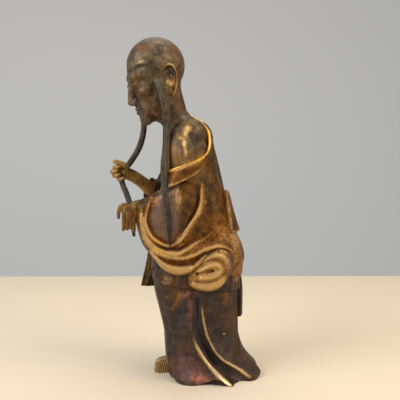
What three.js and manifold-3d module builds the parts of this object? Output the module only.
// Standing monk with brows that reach the hips, a hollow parcel-gilt bronze.
// It is cast in pieces that plug into one another and are held by pins, so that it comes apart on a bench.
// Millimetres, +Z up. The figure faces -Y, and its left side is +X.
// The origin is on the floor, under the middle of the box that holds the whole figure.
import * as THREE from "three";
import { LoftGeometry } from "three/addons/geometries/LoftGeometry.js";
import { mergeVertices } from "three/addons/utils/BufferGeometryUtils.js";
import Module from "manifold-3d";

const wasm = await Module();
wasm.setup();

// Driving dimensions of the castings and of their joints
const FIT = 0.3; // gap between two castings that meet
const ROBE_WALL = 3.6; // wall of the skirt, the torso and the outer robe
const WAIST = 124; // height of the joint between the skirt and the torso
const ROBE_DROP = 20; // outer robe below that joint
const NAPE_RISE = 139; // nape above that joint
const CHEST_RISE = 130; // top of the chest above that joint
const RIGHT_SLEEVE_DROP = 40; // right sleeve below that joint
const SLEEVE_MOUTH = -66; // front of the left sleeve, at the wrist
const SLEEVE_BACK = 14; // its back, at the hip
const TRAIN_REACH = 66.6; // back of the skirt at the floor, behind the figure's middle
const SKIRT_SPREAD = 46; // half-width of the skirt at the floor
const FLANGE_HEIGHT = 12; // ring of the skirt that plugs into the torso
const LEDGE = 6; // shoulder inside the skirt, below the flange, that the torso stands on
const CROWN_OF_CHEST = 30; // solid metal above the torso's hollow
const OVERSKIRT_HEIGHT = 16; // strip of overskirt that shows below the outer robe
const OVERSKIRT_WALL = 2.4;
const PIN_RADIUS = 1.5;
const TENON_RADIUS = 9.5; // spigot of the neck
const TENON_LENGTH = 21;
const SOCKET_END = 2; // clear space below the spigot
const NECK_RADIUS = 15.5;
const COLLAR_RADIUS = 19;
const HEAD_WIDTH = 55;
const HEAD_DEPTH = 59;
const HEAD_HEIGHT = 88;
const HEAD_NOD = 16; // degrees, face downwards
const HEAD_TURN = 12; // degrees, face towards the figure's left
const EAR_HEIGHT = 32;
const EAR_WIDTH = 15;
const EAR_THICKNESS = 7;
const EAR_SPLAY = 14; // degrees, back edge away from the head
const SHOULDER_RADIUS = 19; // bare left shoulder
const UPPER_ARM_RADIUS = 14.8;
const FOREARM_RADIUS = 8.6;
const WRIST_RADIUS = 6.6;
const CUFF_RADIUS = 14;
const CUFF_WALL = 2.4;
const FINGER_RADIUS = 2.5; // closed right hand
const SLACK_FINGER_RADIUS = 2.1; // hanging left hand
const LEFT_BROW_RADIUS = 4.4;
const RIGHT_BROW_RADIUS = 2.9;
const SHOE_LENGTH = 46;
const SHOE_WIDTH = 18;
const SHOE_HEIGHT = 15;
const ANKLE_RADIUS = 7;
const ANKLE_HEIGHT = 36;
const SHOE_PIN_HEIGHT = 27;
const ROBE_END_THICKNESS = 2.4; // panel of the robe thrown over the back
const TAIL_THICKNESS = 4; // end of the robe below its rim

// Levels and insets that follow from them
const ROBE_HEM = WAIST - ROBE_DROP;
const NAPE = WAIST + NAPE_RISE;
const CHEST_TOP = WAIST + CHEST_RISE;
const TORSO_INSET = ROBE_WALL + FIT;
const FLANGE_INSET = TORSO_INSET + ROBE_WALL + FIT;
const FLANGE_MIDDLE = FLANGE_HEIGHT / 2;

// Fineness of the facets
const AROUND = 34; // round the outside of a robe
const CORE_AROUND = 22; // round its inside
const ROBE_STEPS = 14;
const TRAIL = 24; // stretches of a fold's path
const FADE = 0.08; // share of a fold's path over which it rises and dies away
const HEAD_AROUND = 22;
const HEAD_STEPS = 16;
const POLE_GAP = 4; // degrees from the crown and from the chin to the first ring
const SLEEVE_AROUND = 18; // round the right sleeve
const DRAPE_STEPS = 28; // along the left sleeve, from its mouth to the hip
const DRAPE_DOWN = 19; // down its outside
const DRAPE_UP = 6; // up its inside

const DEGREE = Math.PI / 180;
const BIG = 200; // wider than the figure

const at = (x, y, z) => new THREE.Vector3(x, y, z);
// A point of the upper body, by its height above the waist joint
const above = (x, y, rise) => at(x, y, WAIST + rise);
const limit = (value, low, high) => Math.min(Math.max(value, low), high);
// A cosine or sine bent towards the corners of its box
const bend = (value, power) => Math.sign(value) * Math.abs(value) ** (2 / power);
// Evenly spaced numbers from start to end
const steps = (start, end, count) =>
  Array.from({ length: count + 1 }, (_, i) => start + ((end - start) * i) / count);
// Evenly spaced angles round a ring, in degrees
const round = (count) => Array.from({ length: count }, (_, i) => (360 * i) / count);
const join = (first, others) => others.reduce((sum, piece) => sum.add(piece), first);
const cut = (first, others) => others.reduce((sum, piece) => sum.subtract(piece), first);

// Smooth curve through hand-set [place, value] pairs: cubic pieces with the mean slope at each pair
function profile(...pairs) {
  const last = pairs.length - 1;
  const slope = (i) => {
    const [p, q] = [pairs[Math.max(i - 1, 0)], pairs[Math.min(i + 1, last)]];
    return (q[1] - p[1]) / (q[0] - p[0]);
  };
  return (place) => {
    if (place <= pairs[0][0]) return pairs[0][1];
    if (place >= pairs[last][0]) return pairs[last][1];
    const i = pairs.findIndex((pair) => pair[0] >= place) - 1;
    const span = pairs[i + 1][0] - pairs[i][0];
    const t = (place - pairs[i][0]) / span;
    const rise = pairs[i + 1][1] - pairs[i][1];
    const swing = (1 - t) * (slope(i) * span - rise) - t * (slope(i + 1) * span - rise);
    return pairs[i][1] + t * rise + t * (1 - t) * swing;
  };
}

// A closed geometry, its faces pointing out, as a solid: seams merged and empty faces dropped
function solid(geometry) {
  const bare = new THREE.BufferGeometry().copy(geometry);
  bare.deleteAttribute("normal");
  bare.deleteAttribute("uv");
  const merged = mergeVertices(bare, 1e-4);
  const index = merged.index.array;
  const faces = [];
  for (let i = 0; i < index.length; i += 3) {
    const [a, b, c] = index.slice(i, i + 3);
    if (a !== b && b !== c && c !== a) faces.push(a, b, c);
  }
  const vertProperties = merged.attributes.position.array;
  const triVerts = new Uint32Array(faces);
  return new wasm.Manifold(new wasm.Mesh({ numProp: 3, vertProperties, triVerts }));
}

// A solid back as a geometry with flat facets
function geometryOf(body) {
  const mesh = body.getMesh();
  const geometry = new THREE.BufferGeometry();
  geometry.setAttribute("position", new THREE.BufferAttribute(mesh.vertProperties, mesh.numProp));
  geometry.setIndex(new THREE.BufferAttribute(mesh.triVerts, 1));
  const facets = geometry.toNonIndexed();
  facets.computeVertexNormals();
  return facets;
}

// A solid skinned over a list of rings, closed flat at both ends; the rings may run round either way
function skin(rings) {
  const middle = (ring) => ring.reduce((sum, p) => sum.add(p), at(0, 0, 0)).divideScalar(ring.length);
  const along = middle(rings[1]).sub(middle(rings[0]));
  const turn = rings[1].reduce((sum, p, i, ring) => sum.add(p.clone().cross(ring.at(i - 1))), at(0, 0, 0));
  const wound = turn.dot(along) < 0 ? rings : rings.map((ring) => ring.toReversed());
  return solid(new LoftGeometry(wound, { capStart: true, capEnd: true }));
}

// A rounded limb along a smooth path; girth gives its radius at each point, and blunt ends stay flat
function limb(points, girth, { sides = 8, along = 8, blunt = false, grow = 0 } = {}) {
  const curve = new THREE.CatmullRomCurve3(points, false, "centripetal");
  const radiusAt = profile(...girth.map((radius, i) => [i / (girth.length - 1), radius]));
  const frames = curve.computeFrenetFrames(along, false);
  const ringAt = (centre, i, radius) =>
    round(sides).map((angle) =>
      centre.clone()
        .addScaledVector(frames.normals[i], radius * Math.cos(angle * DEGREE))
        .addScaledVector(frames.binormals[i], radius * Math.sin(angle * DEGREE)));
  const rings = steps(0, 1, along).map((t, i) => ringAt(curve.getPointAt(t), i, radiusAt(t) + grow));
  if (blunt) return skin(rings);
  const cap = (end, side) =>
    [60, 25].map((lift) => {
      const radius = radiusAt(end) + grow;
      const reach = radius * Math.sin(lift * DEGREE) * side;
      const centre = curve.getPointAt(end).addScaledVector(frames.tangents[end * along], reach);
      return ringAt(centre, end * along, radius * Math.cos(lift * DEGREE));
    });
  return skin([...cap(0, -1), ...rings, ...cap(1, 1).reverse()]);
}

// A straight round pin or bore between two points
const rod = (from, to, radius) =>
  limb([from, from.clone().lerp(to, 0.5), to], [radius, radius], { along: 1, sides: 10, blunt: true });

// An egg of three half-sizes, turned by Euler angles in degrees
function egg(centre, halves, [tiltX, tiltY, tiltZ], grow = 0) {
  const geometry = new THREE.SphereGeometry(1, 12, 8);
  geometry.scale(...halves.map((half) => half + grow));
  geometry.rotateX(tiltX * DEGREE).rotateY(tiltY * DEGREE).rotateZ(tiltZ * DEGREE);
  geometry.translate(centre.x, centre.y, centre.z);
  return solid(geometry);
}

// The layer between two heights
const layer = (bottom, top) =>
  solid(new THREE.BoxGeometry(BIG, BIG, top - bottom).translate(0, 0, (bottom + top) / 2));

// A prism of a drawn outline: its first axis, its second axis, its depth axis and its starting point
function prism(points, axes, start) {
  const shape = new THREE.Shape(points.map(([x, y]) => new THREE.Vector2(x, y)));
  const geometry = new THREE.ExtrudeGeometry(shape, { depth: BIG, bevelEnabled: false });
  return solid(geometry.applyMatrix4(new THREE.Matrix4().makeBasis(...axes).setPosition(start)));
}

// Nearest place of a path drawn as [across, z] points: its distance, which is positive on the path's left,
// and the share of the path that lies before it
function nearest(path) {
  const curve = new THREE.CatmullRomCurve3(path.map(([across, z]) => at(across, z, 0)), false, "centripetal");
  const trail = curve.getSpacedPoints(TRAIL);
  return (across, z) => {
    let found = { gap: Infinity, along: 0 };
    for (let i = 0; i < TRAIL; i += 1) {
      const way = trail[i + 1].clone().sub(trail[i]);
      const away = at(across, z, 0).sub(trail[i]);
      const share = limit(away.dot(way) / way.lengthSq(), 0, 1);
      const gap = away.clone().addScaledVector(way, -share).length();
      const side = way.x * away.y < way.y * away.x ? -1 : 1;
      if (gap < Math.abs(found.gap)) found = { gap: gap * side, along: (i + share) / TRAIL };
    }
    return found;
  };
}

// Fold along a path: its height goes evenly from first to last, fades at both ends,
// and falls off over a width on each side
function fold(path, { first, last = first, left, right = left }) {
  const find = nearest(path);
  return (across, z) => {
    const { gap, along } = find(across, z);
    const ends = limit(Math.min(along, 1 - along) / FADE, 0, 1);
    return (first + (last - first) * along) * ends * Math.exp(-((gap / (gap > 0 ? left : right)) ** 2));
  };
}

// Sides that folds are drawn on: how far a place faces that side, and the place across it
const LEFT = { facing: (side) => Math.max(0, side) ** 2, across: (point) => point.y };
const RIGHT = { facing: (side) => Math.max(0, -side) ** 2, across: (point) => point.y };
const CORNER = { facing: (side) => limit(3 * side, 0, 1), across: (point) => point.y };
const BACK = { facing: (side, fore) => Math.max(0, fore) ** 2, across: (point) => point.x };
const FRONT = { facing: (side, fore) => Math.max(0, -fore) ** 2, across: (point) => point.x };
const foldOn = (on, path, shape) => ({ ...on, lift: fold(path, shape) });

// Outer robe, from its rim at the hips to the nape
const robe = {
  angles: round(AROUND),
  levels: steps(ROBE_HEM - 1, NAPE + 1, ROBE_STEPS),
  front: profile([ROBE_HEM, -46], [WAIST, -44], [WAIST + 30, -38], [WAIST + 60, -32], [WAIST + 96, -28],
    [WAIST + 122, -27], [NAPE, -23]),
  back: profile([ROBE_HEM, 50], [WAIST, 48.5], [WAIST + 28, 41], [WAIST + 59, 34], [WAIST + 76, 28.5],
    [WAIST + 96, 23.5], [WAIST + 112, 19.5], [WAIST + 122, 14], [WAIST + 132, 5], [NAPE, -3]),
  half: profile([ROBE_HEM, 47.5], [WAIST, 49], [WAIST + 28, 50], [WAIST + 60, 49], [WAIST + 96, 49],
    [WAIST + 112, 47], [WAIST + 122, 42], [WAIST + 132, 32], [NAPE, 20]),
  folds: [
    foldOn(LEFT, [[42, WAIST + 14], [18, WAIST + 14], [-8, WAIST + 4], [-30, WAIST + 2]],
      { first: 2.6, left: 4 }),
    foldOn(LEFT, [[24, WAIST + 34], [14, WAIST + 27], [-4, WAIST + 17], [-24, WAIST + 7]],
      { first: 2.2, left: 4 }),
  ],
  plaits: (angle, z) =>
    1.2 * Math.sin(9 * angle * DEGREE + (z - WAIST) * 0.05) *
    limit((z - WAIST) / 30, 0, 1) * limit((NAPE - z) / 40, 0, 1),
};

// Skirt, from the floor to the waist, whose train sweeps back along the floor
const up = (share) => share * ROBE_HEM; // heights below the outer robe's rim
const skirt = {
  angles: [...steps(0, 180, 36), ...steps(190, 350, 16)],
  levels: [-1, ...[0.04, 0.09, 0.15, 0.22, 0.3, 0.4, 0.52, 0.64, 0.76, 0.88, 1].map(up),
    WAIST - 8, WAIST + 1],
  front: profile([0, -27], [up(0.1), -28.5], [up(0.2), -30], [up(0.4), -33], [up(0.6), -37], [up(0.8), -40],
    [ROBE_HEM, -41], [WAIST, robe.front(WAIST) + TORSO_INSET]),
  back: profile([0, TRAIN_REACH], [up(0.1), TRAIN_REACH - 6], [up(0.2), TRAIN_REACH - 13.5], [up(0.4), 44.5],
    [up(0.6), 43], [up(0.8), 43.5], [ROBE_HEM, 43.5], [WAIST, robe.back(WAIST) - TORSO_INSET]),
  half: profile([0, SKIRT_SPREAD], [up(0.1), SKIRT_SPREAD - 1.5], [up(0.2), SKIRT_SPREAD - 4], [up(0.4), 40],
    [up(0.6), 40], [up(0.8), 41], [ROBE_HEM, 42], [WAIST, robe.half(WAIST) - TORSO_INSET]),
  folds: [
    foldOn(LEFT, [[-12, up(0.88)], [-12, up(0.63)], [-7, up(0.4)], [4.6, up(0.2)], [19.4, up(0.06)],
      [30, up(-0.04)]], { first: 0.8, last: 8, left: 2.6, right: 7 }),
    foldOn(LEFT, [[-1, up(0.9)], [1, up(0.59)], [8.3, up(0.37)], [20, up(0.21)], [36, up(0.12)],
      [50, up(0.01)]], { first: 1.8, last: 5, left: 6, right: 3.2 }),
    foldOn(LEFT, [[-5.5, up(0.88)], [-4.4, up(0.53)], [6.7, up(0.28)], [25, up(0.09)], [42, up(-0.04)]],
      { first: -1.6, last: -2.6, left: 3.2 }),
    foldOn(LEFT, [[-4, up(0.38)], [-2, up(0.23)], [2, up(-0.04)]],
      { first: -0.8, last: -2, left: 9, right: 8 }),
    foldOn(CORNER, [[-30, up(0.42)], [-27, up(0.21)], [-24, up(-0.06)]], { first: 0.5, last: 4, left: 7 }),
    foldOn(CORNER, [[46, up(0.25)], [50, up(0.15)], [54, up(-0.04)]], { first: 2, last: 6.5, left: 9 }),
    ...[[-16, -4, 20], [0, 11, 48], [14, 27, 56]].map(([top, middle, foot]) =>
      foldOn(RIGHT, [[top, up(0.88)], [top + 1, up(0.63)], [middle, up(0.31)], [foot, up(-0.02)]],
        { first: 1.4, last: 4.6, left: 6, right: 3 })),
    ...[[-15, -20, -28], [3, 2, 3], [20, 23, 29]].map(([top, middle, foot]) =>
      foldOn(BACK, [[top, up(0.92)], [middle, up(0.43)], [foot, up(-0.02)]],
        { first: 1, last: 2.8, left: 4 })),
    foldOn(FRONT, [[14, up(0.92)], [16, up(0.29)], [18, up(-0.02)]], { first: 0.8, last: 3, left: 5 }),
    foldOn(FRONT, [[-14, up(0.38)], [-13, up(0.15)], [-12, up(-0.02)]], { first: 0.8, last: 3, left: 5 }),
  ],
  plaits: () => 0,
};

// The same robe without its folds, for what lies inside it
const plain = (cloth) => ({ ...cloth, angles: round(CORE_AROUND), folds: [], plaits: () => 0 });

// Point on a robe's section: 0 is the back, 90 the figure's left, 180 the front, 270 its right
const ROBE_POWER = 2.5; // squareness of the section
function robePoint(cloth, z, angle, offset) {
  const [front, back, half] = [cloth.front(z) - offset, cloth.back(z) + offset, cloth.half(z) + offset];
  const side = bend(Math.sin(angle * DEGREE), ROBE_POWER);
  const fore = bend(Math.cos(angle * DEGREE), ROBE_POWER);
  const point = at(half * side, (front + back) / 2 + ((back - front) / 2) * fore, z);
  const lift = cloth.folds.reduce((sum, { facing, across, lift: rise }) =>
    sum + facing(side, fore) * rise(across(point), z), 0);
  const plait = (1 - LEFT.facing(side)) * cloth.plaits(angle, z);
  return point.add(at(side, fore, 0).normalize().multiplyScalar(lift + plait));
}

// A robe's bulk between two heights; every wall and core of one robe is skinned over the same levels
function robeBody(cloth, bottom, top, offset) {
  const first = cloth.levels.findLastIndex((z) => z <= bottom);
  const last = cloth.levels.findIndex((z) => z >= top);
  const rings = cloth.levels.slice(first, last + 1)
    .map((z) => cloth.angles.map((angle) => robePoint(cloth, z, angle, offset)));
  return skin(rings).intersect(layer(bottom, top));
}

// Bulks with a margin, which trim what is fastened on them
const OVERSKIRT_BOTTOM = ROBE_HEM - OVERSKIRT_HEIGHT;
const robeBulk = robeBody(robe, ROBE_HEM - FIT, NAPE, FIT);
const skirtBulk = robeBody(skirt, -1, WAIST, FIT);
const overskirtBulk = robeBody(skirt, OVERSKIRT_BOTTOM - FIT, ROBE_HEM, 2 * FIT + OVERSKIRT_WALL);

// Head: a smooth field that is negative inside, in the head's own axes, face towards -y, middle at 0
const HEAD_CENTRE = above(0, -42.5, 180);
const HEAD_POSE = new THREE.Matrix4().makeRotationZ(HEAD_TURN * DEGREE)
  .multiply(new THREE.Matrix4().makeRotationX(HEAD_NOD * DEGREE)).setPosition(HEAD_CENTRE);
const MODEL_HEAD = at(55, 59, 88); // width, depth and height that the field is drawn at
const HEAD_SCALE = at(HEAD_WIDTH, HEAD_DEPTH, HEAD_HEIGHT).divide(MODEL_HEAD);
const inHead = (x, y, z) => at(x, y, z).multiply(HEAD_SCALE).applyMatrix4(HEAD_POSE);

function inEgg(p, centre, halves) {
  const away = p.clone().sub(centre);
  const far = away.clone().divide(halves).length();
  const steep = away.divide(halves).divide(halves).length();
  return steep > 0 ? (far * (far - 1)) / steep : -halves.x;
}
function inBar(p, from, to, thin, thick) {
  const span = to.clone().sub(from);
  const t = limit(p.clone().sub(from).dot(span) / span.lengthSq(), 0, 1);
  return p.distanceTo(from.clone().addScaledVector(span, t)) - thin - (thick - thin) * t;
}
function melt(a, b, soft) {
  const near = limit(0.5 + (0.5 * (b - a)) / soft, 0, 1);
  return b + (a - b) * near - soft * near * (1 - near);
}

// Even thirds from hairline to chin, with the eyes at half height
function headField(p) {
  const half = at(Math.abs(p.x), p.y, p.z);
  const cranium = inEgg(half, at(0, 4, 12), at(27, 28.5, 32));
  const face = inEgg(half, at(0, -4, -11), at(21.5, 22.5, 32.5));
  const browRidge = inBar(half, at(4, -25.5, 6), at(17, -20, 5), 3.6, 3.6);
  const cheek = inEgg(half, at(15, -18.5, -10), at(7, 7, 6));
  const socket = inEgg(half, at(10, -31, -1), at(6.5, 7.5, 5));
  const nose = inBar(half, at(0, -26, 3), at(0, -31, -17), 2.4, 3.6);
  const nostril = inEgg(half, at(4, -27.5, -18), at(3, 3.4, 2.8));
  const lips = inBar(half, at(0, -26, -26.5), at(6, -23.5, -26.5), 2.2, 1.4);
  const chin = inEgg(half, at(0, -19.5, -37), at(7.5, 6, 6));
  let field = melt(cranium, face, 8);
  field = melt(field, browRidge, 5);
  field = melt(field, cheek, 6);
  field = -melt(-field, socket, 3);
  field = melt(field, nose, 3);
  field = melt(field, nostril, 2);
  field = melt(field, lips, 2.5);
  return melt(field, chin, 6);
}

// Distance from the middle of the head to its skin, by halving
function headReach(direction, grow) {
  let [low, high] = [0, MODEL_HEAD.z];
  for (let i = 0; i < 24; i += 1) {
    const middle = (low + high) / 2;
    if (headField(direction.clone().multiplyScalar(middle)) < grow) low = middle;
    else high = middle;
  }
  return low;
}
function skull(grow) {
  const rows = steps(POLE_GAP, 180 - POLE_GAP, HEAD_STEPS).map((polar) =>
    round(HEAD_AROUND).map((angle) => {
      const ball = new THREE.Vector3().setFromSphericalCoords(1, polar * DEGREE, angle * DEGREE);
      const direction = at(ball.x, ball.z, ball.y);
      return inHead(...direction.multiplyScalar(headReach(direction, grow)));
    }),
  );
  return skin(rows);
}
function ear(side) {
  const halves = [EAR_THICKNESS / 2, EAR_WIDTH / 2, EAR_HEIGHT / 2];
  return egg(inHead(side * 26, 6, -5), halves, [HEAD_NOD, 0, HEAD_TURN + side * EAR_SPLAY]);
}

// Neck: leans from the collar to the head, and ends below in a spigot that a pin crosses
const NECK_BASE = at(0, -16, CHEST_TOP);
const NECK_LEAN = HEAD_CENTRE.clone().sub(NECK_BASE).normalize();
const onNeck = (distance) => NECK_BASE.clone().addScaledVector(NECK_LEAN, distance);
const neck = (grow) =>
  limb([onNeck(FIT - grow), onNeck(20), onNeck(46)], [NECK_RADIUS, NECK_RADIUS],
    { along: 3, sides: 16, blunt: true, grow });
function neckPin(grow) {
  const spot = onNeck(-TENON_LENGTH / 2);
  const reach = COLLAR_RADIUS - 1 + grow;
  return rod(spot.clone().setX(-reach), spot.clone().setX(reach), PIN_RADIUS + grow);
}

// Brows: long rods rooted in the brow, one down the chest and over the sleeve, one through the right hand
const thicken = (shares, radius) => shares.map((share) => share * radius);
const LEFT_BROW_LINE = [
  inHead(12, -18, 6), inHead(17, -21, 7), inHead(25.5, -14, 5),
  above(30.5, -37.5, 170), above(32, -35, 154), above(33, -34, 136), above(38, -35, 111), above(44, -37, 91),
  above(50, -37.5, 71.5), above(55, -36, 47.5), above(57, -34.5, 28), above(56.5, -34, 13),
];
const LEFT_BROW_GIRTH = [0.55, 0.8, 1, 1, 0.98, 0.95, 1, 1.1, 1.12, 0.85, 0.6, 0.3];
const leftBrow = (grow) =>
  limb(LEFT_BROW_LINE, thicken(LEFT_BROW_GIRTH, LEFT_BROW_RADIUS), { sides: 8, along: 20, grow });
const RIGHT_BROW_LINE = [
  inHead(-11, -18, 6), inHead(-16, -22, 7), inHead(-23.5, -18, 3),
  above(-23, -57, 172), above(-22.5, -54.5, 156), above(-21.5, -52, 140), above(-20.5, -52.5, 126),
  above(-20, -57, 110), above(-18.5, -66, 95), above(-16.5, -76, 82), above(-14, -75, 72), above(-8, -71, 61),
  above(-1, -68, 50), above(8, -64.5, 18),
];
const RIGHT_BROW_GIRTH = [0.6, 0.75, 1, 1.05, 1.1, 1.1, 1.1, 1.05, 1, 0.95, 0.95, 0.9, 0.9, 0.6];
const rightBrow = (grow) =>
  limb(RIGHT_BROW_LINE, thicken(RIGHT_BROW_GIRTH, RIGHT_BROW_RADIUS), { sides: 6, along: 26, grow });

function head() {
  const tenon = rod(onNeck(-TENON_LENGTH), onNeck(20), TENON_RADIUS);
  const cast = join(skull(0), [neck(0), tenon, ear(1), ear(-1)]);
  return cut(cast, [neckPin(FIT), leftBrow(FIT), rightBrow(FIT)]);
}

// Torso: bare chest, left shoulder and upper arm, hollow from below, with the neck's socket on top
const bareArm = (grow) =>
  limb([above(33, -4, 117), above(38, -5, 104), above(40, -7, 90), above(39.5, -8, 81)],
    [SHOULDER_RADIUS, SHOULDER_RADIUS, UPPER_ARM_RADIUS, UPPER_ARM_RADIUS - 2],
    { sides: 14, along: 5, grow });
const collar = (grow) =>
  limb([onNeck(-TENON_LENGTH), onNeck(-10), onNeck(4)], [COLLAR_RADIUS - 4, COLLAR_RADIUS],
    { along: 3, sides: 16, blunt: true, grow });
function waistPin(side, grow) {
  const half = robe.half(WAIST + FLANGE_MIDDLE);
  const inner = half - FLANGE_INSET - ROBE_WALL + 1 - grow;
  const outer = half - TORSO_INSET - 1 + grow;
  const spot = (x) => above(side * x, 2, FLANGE_MIDDLE);
  return rod(spot(inner), spot(outer), PIN_RADIUS + grow);
}
function torso() {
  const chest = robeBody(plain(robe), WAIST + FIT, CHEST_TOP, -TORSO_INSET);
  const hollow = robeBody(plain(robe), WAIST, CHEST_TOP - CROWN_OF_CHEST, -TORSO_INSET - ROBE_WALL);
  const socket = rod(onNeck(-TENON_LENGTH - SOCKET_END), onNeck(8), TENON_RADIUS + FIT);
  const cast = join(cut(chest, [hollow]), [bareArm(0), collar(0)]);
  return cut(cast, [socket, neck(FIT), neckPin(FIT), waistPin(1, FIT), waistPin(-1, FIT), skull(FIT)]);
}

// Outer robe: open round the left shoulder and down to a point on the breast.
// The armhole is drawn as [y, height above the waist], and the neckline as [x, height above the waist].
const ARMHOLE = [
  [-4, 142], [4, 132], [10, 120], [11, 110], [7, 101], [-4, 94], [-16, 89], [-27, 85], [-60, 76], [-60, 160],
  [-4, 160],
];
const NECKLINE = [[-22, 145], [-16, 124], [0, 88], [12, 80], [40, 80], [40, 145]];
const SIDEWAYS = [at(0, 1, 0), at(0, 0, 1), at(1, 0, 0)];
const FORWARDS = [at(1, 0, 0), at(0, 0, 1), at(0, -1, 0)];
const shoulderCut = prism(ARMHOLE, SIDEWAYS, above(2, 0, 0));
const breastCut = prism(NECKLINE, FORWARDS, above(0, -12, 0));
function outerRobe() {
  const inside = robeBody(plain(robe), ROBE_HEM - 1, NAPE + 1, -ROBE_WALL);
  const openings = [inside, shoulderCut, breastCut, bareArm(FIT), collar(FIT), neck(FIT), skull(FIT)];
  return cut(robeBody(robe, ROBE_HEM, NAPE, 0), openings);
}

// Shoes: blunt toes that show in front of the skirt, the right one a step ahead, on ankles inside the skirt
const LEFT_SHOE = { x: 14.5, toe: -31 };
const RIGHT_SHOE = { x: -5, toe: -43.5 };
const ANKLE_Y = -19;
// Fullness of a shoe's sections, as [share of its length from the toe, share of its full section]
const SHOE_SHAPE = [[0, 0.62], [0.05, 0.85], [0.2, 0.95], [0.5, 1], [0.8, 0.95], [1, 0.7]];
const SHOE_POWER = 2.7;
function shoeForm({ x, toe }, grow) {
  const rings = SHOE_SHAPE.map(([along, full]) => {
    const y = toe - grow + along * (SHOE_LENGTH + 2 * grow);
    const wide = (SHOE_WIDTH / 2) * full + grow;
    const tall = SHOE_HEIGHT * 0.6 * full + grow;
    return round(14).map((angle) =>
      at(x + wide * bend(Math.cos(angle * DEGREE), SHOE_POWER), y,
        SHOE_HEIGHT * 0.4 + tall * bend(Math.sin(angle * DEGREE), SHOE_POWER)));
  });
  const ankle = rod(at(x, ANKLE_Y, 2), at(x, ANKLE_Y, ANKLE_HEIGHT + grow), ANKLE_RADIUS + grow);
  return skin(rings).add(ankle).intersect(layer(-grow, BIG));
}
function shoePin({ x }, grow) {
  const front = skirt.front(SHOE_PIN_HEIGHT) + 1 - grow;
  const back = ANKLE_Y + 3 + grow;
  return rod(at(x, front, SHOE_PIN_HEIGHT), at(x, back, SHOE_PIN_HEIGHT), PIN_RADIUS + grow);
}
const shoe = (foot) => cut(shoeForm(foot, 0), [shoePin(foot, FIT)]);

// Skirt, open below and above, with the flange that plugs into the torso
function lowerRobe() {
  const inRobe = robeBody(plain(robe), ROBE_HEM - 1, WAIST, -TORSO_INSET);
  const top = robeBody(skirt, ROBE_HEM - 1, WAIST, 0).intersect(inRobe);
  const flange = robeBody(plain(robe), WAIST - LEDGE, WAIST + FLANGE_HEIGHT, -FLANGE_INSET);
  const core = robeBody(plain(skirt), -1, WAIST - LEDGE, -ROBE_WALL);
  const bore = -FLANGE_INSET - ROBE_WALL;
  const mouth = robeBody(plain(robe), WAIST - LEDGE - 1, WAIST + FLANGE_HEIGHT + 1, bore);
  const feet = [LEFT_SHOE, RIGHT_SHOE].flatMap((foot) => [shoeForm(foot, FIT), shoePin(foot, FIT)]);
  const cast = join(robeBody(skirt, 0, ROBE_HEM - FIT, 0), [top, flange]);
  return cut(cast, [core, mouth, waistPin(1, FIT), waistPin(-1, FIT), ...feet]);
}
const overskirt = () =>
  cut(robeBody(skirt, OVERSKIRT_BOTTOM, ROBE_HEM - FIT, FIT + OVERSKIRT_WALL), [skirtBulk]);

// Left hand: hangs slack from a spigot in its sleeve
const leftWristPin = (grow) => rod(above(35, -53, 42 - grow), above(35, -53, 57 + grow), PIN_RADIUS + grow);
function leftHandForm(grow) {
  const tenon = limb([above(36, -44, 49), above(35, -54, 51), above(33, -63, 52)],
    [WRIST_RADIUS, WRIST_RADIUS, WRIST_RADIUS * 0.95], { along: 4, grow });
  const palm = egg(above(31.5, -69.5, 41), [4.6, 8.6, 11], [12, 0, 0], grow);
  const fingers = [25, 23.5, 24.5, 27].map((tip, i) => {
    const y = -76 + i * 3.8;
    return limb([above(31.5, y + 1.4, 40), above(31.5, y, 34), above(30.5, y + 0.6, tip)],
      thicken([1.15, 1, 0.8], SLACK_FINGER_RADIUS), { sides: 6, along: 4, grow });
  });
  const thumb = limb([above(31, -71, 48), above(30, -78, 45), above(29.5, -80.5, 38), above(29.5, -78.8, 31)],
    thicken([1.24, 1.14, 1.05, 0.8], SLACK_FINGER_RADIUS), { sides: 6, along: 5, grow });
  return join(tenon, [palm, ...fingers, thumb]);
}
const leftHand = () => cut(leftHandForm(0), [leftWristPin(FIT)]);

// Right hand: closed round its brow, on a forearm that goes back into the sleeve
const rightWristPin = (grow) =>
  rod(above(-27, -43, 57 - grow), above(-27, -43, 78 + grow), PIN_RADIUS + grow);
const rightForearm = (grow) =>
  limb([above(-33, -30, 58), above(-27, -44, 66), above(-21.5, -58, 76.5), above(-19, -70, 83)],
    [FOREARM_RADIUS, FOREARM_RADIUS, WRIST_RADIUS, WRIST_RADIUS * 1.1], { sides: 12, along: 6, grow });
function rightHand() {
  const palm = egg(above(-20.5, -76, 86.5), [5.6, 9, 9.5], [-25, 0, 0]);
  const fingers = [94, 89.4, 84.8, 80.2].map((rise) => {
    const curl = [[-23.5, -78], [-22, -84.5], [-15.5, -86], [-11.5, -81]];
    return limb(curl.map(([x, y]) => above(x, y, rise)), thicken([1, 1, 0.95, 0.85], FINGER_RADIUS),
      { sides: 6, along: 5 });
  });
  const thumb = limb([above(-18, -69, 88), above(-13, -75, 94), above(-12, -82, 96.5)],
    thicken([1.4, 1.25, 1], FINGER_RADIUS), { sides: 6, along: 4 });
  const cast = join(rightForearm(0), [palm, ...fingers, thumb]);
  return cut(cast, [robeBulk, rightBrow(FIT), rightWristPin(FIT)]);
}

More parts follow.
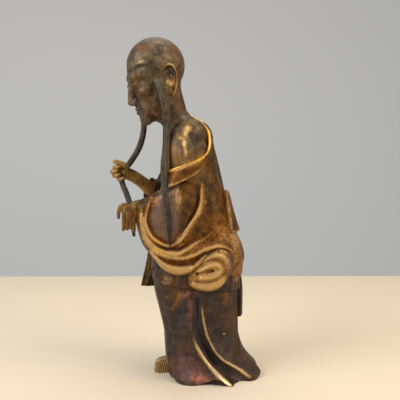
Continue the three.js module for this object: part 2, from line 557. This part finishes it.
// Left sleeve: cloth over the arm that swings back to the hip, drawn from front to back.
// Its lines are [y, height above the waist].
const leftDrape = {
  top: profile([SLEEVE_MOUTH, 54], [-58, 58.5], [-48, 63.5], [-38, 71], [-28, 85], [-16, 89.5], [-4, 94.5],
    [7, 102], [SLEEVE_BACK, 104]),
  bottom: profile([SLEEVE_MOUTH, 42], [-63, 26], [-59, 11], [-55.6, 5.8], [-48.8, 1.4], [-42.5, -7],
    [-32, -14.6], [-25, -16.8], [-11.5, -13.7], [4, -6], [SLEEVE_BACK, -3]),
  outside: profile([SLEEVE_MOUTH, 41.5], [-60, 46], [-50, 50], [-40, 52.5], [-30, 53.5], [-18, 53],
    [-5, 50.5], [8, 45], [SLEEVE_BACK, 40]),
  middle: profile([SLEEVE_MOUTH, 34], [-50, 36.5], [-30, 38], [SLEEVE_BACK, 38]),
  inside: profile([SLEEVE_MOUTH, 6], [-60, 9], [-50, 13], [-30, 15], [SLEEVE_BACK, 12]),
};
const ARM_EDGE = nearest([[-44, 76], [-50.6, 54], [-53.9, 39], [-52, 31], [-45, 20], [-34, 16], [-24, 23],
  [-15, 37], [-6, 52], [1, 67], [10, 92]]);
const ARM_SWELL = 5; // sleeve over the arm, above the folds round it
const RIM_SWELL = 2.2; // roll of cloth in front of and below it
const SEAM_DEPTH = 1.8; // hollow between them
const EDGE_ROLL = 5; // rounding of its edges
const drapeFolds = [
  fold([[2, 88], [-1, 62], [-8, 42], [-20, 26], [-32, 15]], { first: 2.4, last: 3.4, left: 7.5, right: 2.2 }),
  fold([[-61, 54], [-57, 30], [-50, 16], [-37, 8], [-23, 8], [-8, 16], [14, 27]],
    { first: 2.2, left: 5, right: 1.8 }),
  fold([[-63, 48], [-58, 21], [-46, 8], [-34, 3], [-20, 2], [0, 9], [18, 15]],
    { first: 3.2, left: 4.6, right: 3.4 }),
  fold([[-57, 14], [-46, 4], [-36, -2], [-24, -5], [-14, -5]], { first: -2, left: 3 }),
  fold([[-56, 9], [-46, 1], [-38, -6], [-28, -10.5], [-16, -10.5], [-8, -8]],
    { first: 2.4, left: 5, right: 6 }),
  fold([[-40, 74], [-28, 79], [-14, 83], [-2, 89], [9, 97]], { first: 4.4, last: 6, left: 8, right: 6 }),
];
// X of a robe's left side
function robeSide(cloth, y, z) {
  const reach = (cloth.back(z) - cloth.front(z)) / 2;
  const share = limit(Math.abs((y - cloth.front(z)) / reach - 1), 0, 1);
  return cloth.half(z) * (1 - share ** ROBE_POWER) ** (1 / ROBE_POWER);
}
function drapeSide(y, rise) {
  const [robeX, sleeveX] = [robeSide(robe, y, WAIST + rise), leftDrape.outside(y)];
  const base = 3 * Math.log(Math.exp(robeX / 3) + Math.exp(sleeveX / 3)); // the larger one, blended
  const { gap, along } = ARM_EDGE(y, rise);
  const swell = ARM_SWELL * (1 - Math.exp(-Math.max(gap, 0) / 8));
  const seam = SEAM_DEPTH * Math.exp(-((gap / 3) ** 2)) * limit((0.85 - along) / 0.2, 0, 1);
  const rim = RIM_SWELL * Math.exp(-(((gap + 5) / 3.4) ** 2)) * limit((0.6 - along) / 0.1, 0, 1);
  return base + swell - seam + rim - 1 + drapeFolds.reduce((sum, lift) => sum + lift(y, rise), 0);
}
function leftDrapeForm(grow) {
  const down = steps(0, 180, DRAPE_DOWN).map((angle) => (1 - Math.cos(angle * DEGREE)) / 2);
  const back = steps(1, 0, DRAPE_UP).slice(1, -1);
  const rings = steps(SLEEVE_MOUTH, SLEEVE_BACK, DRAPE_STEPS).map((y, i) => {
    const [top, bottom] = [leftDrape.top(y) + grow, leftDrape.bottom(y) - grow];
    const middle = leftDrape.middle(y);
    const ends = i === 0 ? -grow : i === DRAPE_STEPS ? grow : 0;
    const spot = (share, reach) => {
      const rise = top + (bottom - top) * share;
      const brink = Math.min((top - rise) * 0.6, rise - bottom);
      const roll = Math.sqrt(1 - limit(1 - brink / EDGE_ROLL, 0, 1) ** 2);
      return above(middle + reach(rise) * roll, y + ends, rise);
    };
    return [...down.map((share) => spot(share, (rise) => drapeSide(y, rise) + grow - middle)),
      ...back.map((share) => spot(share, () => -leftDrape.inside(y) - grow))];
  });
  return skin(rings);
}
function leftSleeve() {
  const within = [bareArm(FIT), leftHandForm(FIT), leftWristPin(FIT)];
  return cut(leftDrapeForm(0), [robeBulk, overskirtBulk, ...within, leftBrow(FIT), shoulderCut]);
}

// Right sleeve: hangs from the shoulder to below the hips, drawn from bottom to top, with a cuff
const rightBag = {
  front: profile([-RIGHT_SLEEVE_DROP, -55], [-10, -48], [30, -46], [60, -43], [84, -32], [108, -18]),
  back: profile([-RIGHT_SLEEVE_DROP, -28], [-10, -14], [30, 2], [60, 8], [84, 8], [108, 8]),
  half: profile([-RIGHT_SLEEVE_DROP, 6], [-10, 9], [30, 13], [60, 15], [84, 13], [108, 8]),
  middle: profile([-RIGHT_SLEEVE_DROP, -33], [-10, -37], [30, -39], [84, -40], [108, -39]),
};
const cuffForm = (grow) =>
  limb([above(-34, -28, 60), above(-29, -38, 63), above(-25, -49, 66)],
    [CUFF_RADIUS * 0.8, CUFF_RADIUS * 0.9, CUFF_RADIUS], { sides: 14, along: 4, blunt: true, grow });
function rightSleeve() {
  const rings = steps(-RIGHT_SLEEVE_DROP, 108, 12).map((rise) => {
    const [front, back] = [rightBag.front(rise), rightBag.back(rise)];
    return round(SLEEVE_AROUND).map((angle) =>
      above(rightBag.middle(rise) + rightBag.half(rise) * Math.sin(angle * DEGREE),
        (front + back) / 2 + ((back - front) / 2) * Math.cos(angle * DEGREE), rise));
  });
  const within = [cuffForm(FIT), rightForearm(FIT), rightWristPin(FIT)];
  return cut(skin(rings), [robeBulk, overskirtBulk, skirtBulk, ...within]);
}
function rightCuff() {
  const mouth = limb([above(-29, -38, 63), above(-27, -44, 64.5), above(-24.5, -51, 66.5)],
    [CUFF_RADIUS * 0.9 - CUFF_WALL, CUFF_RADIUS - CUFF_WALL], { sides: 14, along: 2, blunt: true });
  return cut(cuffForm(0), [mouth, rightForearm(FIT), robeBulk, rightWristPin(FIT)]);
}

// Gathered end of the robe at the left hip
function hipSwag() {
  const gather = egg(above(46, 15, -12), [9.5, 25, 21.5], [-8, 0, 0]);
  return cut(gather, [robeBulk, overskirtBulk, skirtBulk, leftDrapeForm(FIT)]);
}

// Strip that lies on the back of a robe, between two angles and two distances from its surface
function backStrip(cloth, { bottom, top, reach, inner, outer, rows }) {
  const angles = steps(-reach, reach, 8);
  const rings = steps(bottom, top, rows).map((z) => [
    ...angles.map((angle) => robePoint(cloth, z, angle, outer(z))),
    ...angles.toReversed().map((angle) => robePoint(cloth, z, angle, inner)),
  ]);
  return skin(rings);
}

// Ends of the robe at the back: one thrown over the shoulder, whose lower edge stands off, one below the rim
const ROBE_END = { bottom: WAIST + 24, top: WAIST + 63, reach: 30, rows: 5, inner: -1 };
const standOff = (z) => limit((WAIST + 50 - z) / 26, 0, 1);
const backRobeEnd = () =>
  cut(backStrip(robe, { ...ROBE_END, outer: (z) => FIT + ROBE_END_THICKNESS + standOff(z) }), [robeBulk]);
const straight = (line) => () => line(ROBE_HEM);
const TAIL_LINE = {
  ...plain(skirt), front: straight(skirt.front), back: straight(skirt.back), half: straight(skirt.half),
};
const TAIL_OUT = FIT + OVERSKIRT_WALL; // the overskirt's outside
const TAIL = { bottom: up(0.54), top: ROBE_HEM - FIT, reach: 22, rows: 3, inner: TAIL_OUT - 1 };
const backTail = () =>
  cut(backStrip(TAIL_LINE, { ...TAIL, outer: () => TAIL_OUT + TAIL_THICKNESS - 1 }), [overskirtBulk]);

// Finishes
const DARK_BRONZE = { color: 0x4a3826, roughness: 0.5, metalness: 0.8 };
const GILT_BRONZE = { color: 0x8a6428, roughness: 0.4, metalness: 0.9 };
const BROW_BRONZE = { color: 0x3a332b, roughness: 0.5, metalness: 0.8 };

const figure = new THREE.Group();
function place(name, body, finish) {
  const mesh = new THREE.Mesh(geometryOf(body), new THREE.MeshStandardMaterial(finish));
  mesh.name = name;
  figure.add(mesh);
}
place("lower_robe", lowerRobe(), DARK_BRONZE);
place("overskirt", overskirt(), DARK_BRONZE);
place("torso", torso(), GILT_BRONZE);
place("outer_robe", outerRobe(), GILT_BRONZE);
place("head", head(), DARK_BRONZE);
place("left_brow", leftBrow(0), BROW_BRONZE);
place("right_brow", rightBrow(0), BROW_BRONZE);
place("left_sleeve", leftSleeve(), GILT_BRONZE);
place("right_sleeve", rightSleeve(), DARK_BRONZE);
place("right_cuff", rightCuff(), DARK_BRONZE);
place("left_hand", leftHand(), GILT_BRONZE);
place("right_hand", rightHand(), GILT_BRONZE);
place("hip_swag", hipSwag(), GILT_BRONZE);
place("back_robe_end", backRobeEnd(), GILT_BRONZE);
place("back_tail", backTail(), DARK_BRONZE);
place("left_shoe", shoe(LEFT_SHOE), GILT_BRONZE);
place("right_shoe", shoe(RIGHT_SHOE), GILT_BRONZE);
place("neck_pin", neckPin(0), DARK_BRONZE);
place("left_wrist_pin", leftWristPin(0), DARK_BRONZE);
place("right_wrist_pin", rightWristPin(0), DARK_BRONZE);
place("left_waist_pin", waistPin(1, 0), DARK_BRONZE);
place("right_waist_pin", waistPin(-1, 0), DARK_BRONZE);
place("left_shoe_pin", shoePin(LEFT_SHOE, 0), DARK_BRONZE);
place("right_shoe_pin", shoePin(RIGHT_SHOE, 0), DARK_BRONZE);

// Stand the figure on the origin, under the middle of its box
const box = new THREE.Box3().setFromObject(figure);
const middle = box.getCenter(at(0, 0, 0));
figure.position.set(-middle.x, -middle.y, -box.min.z);

export default figure;
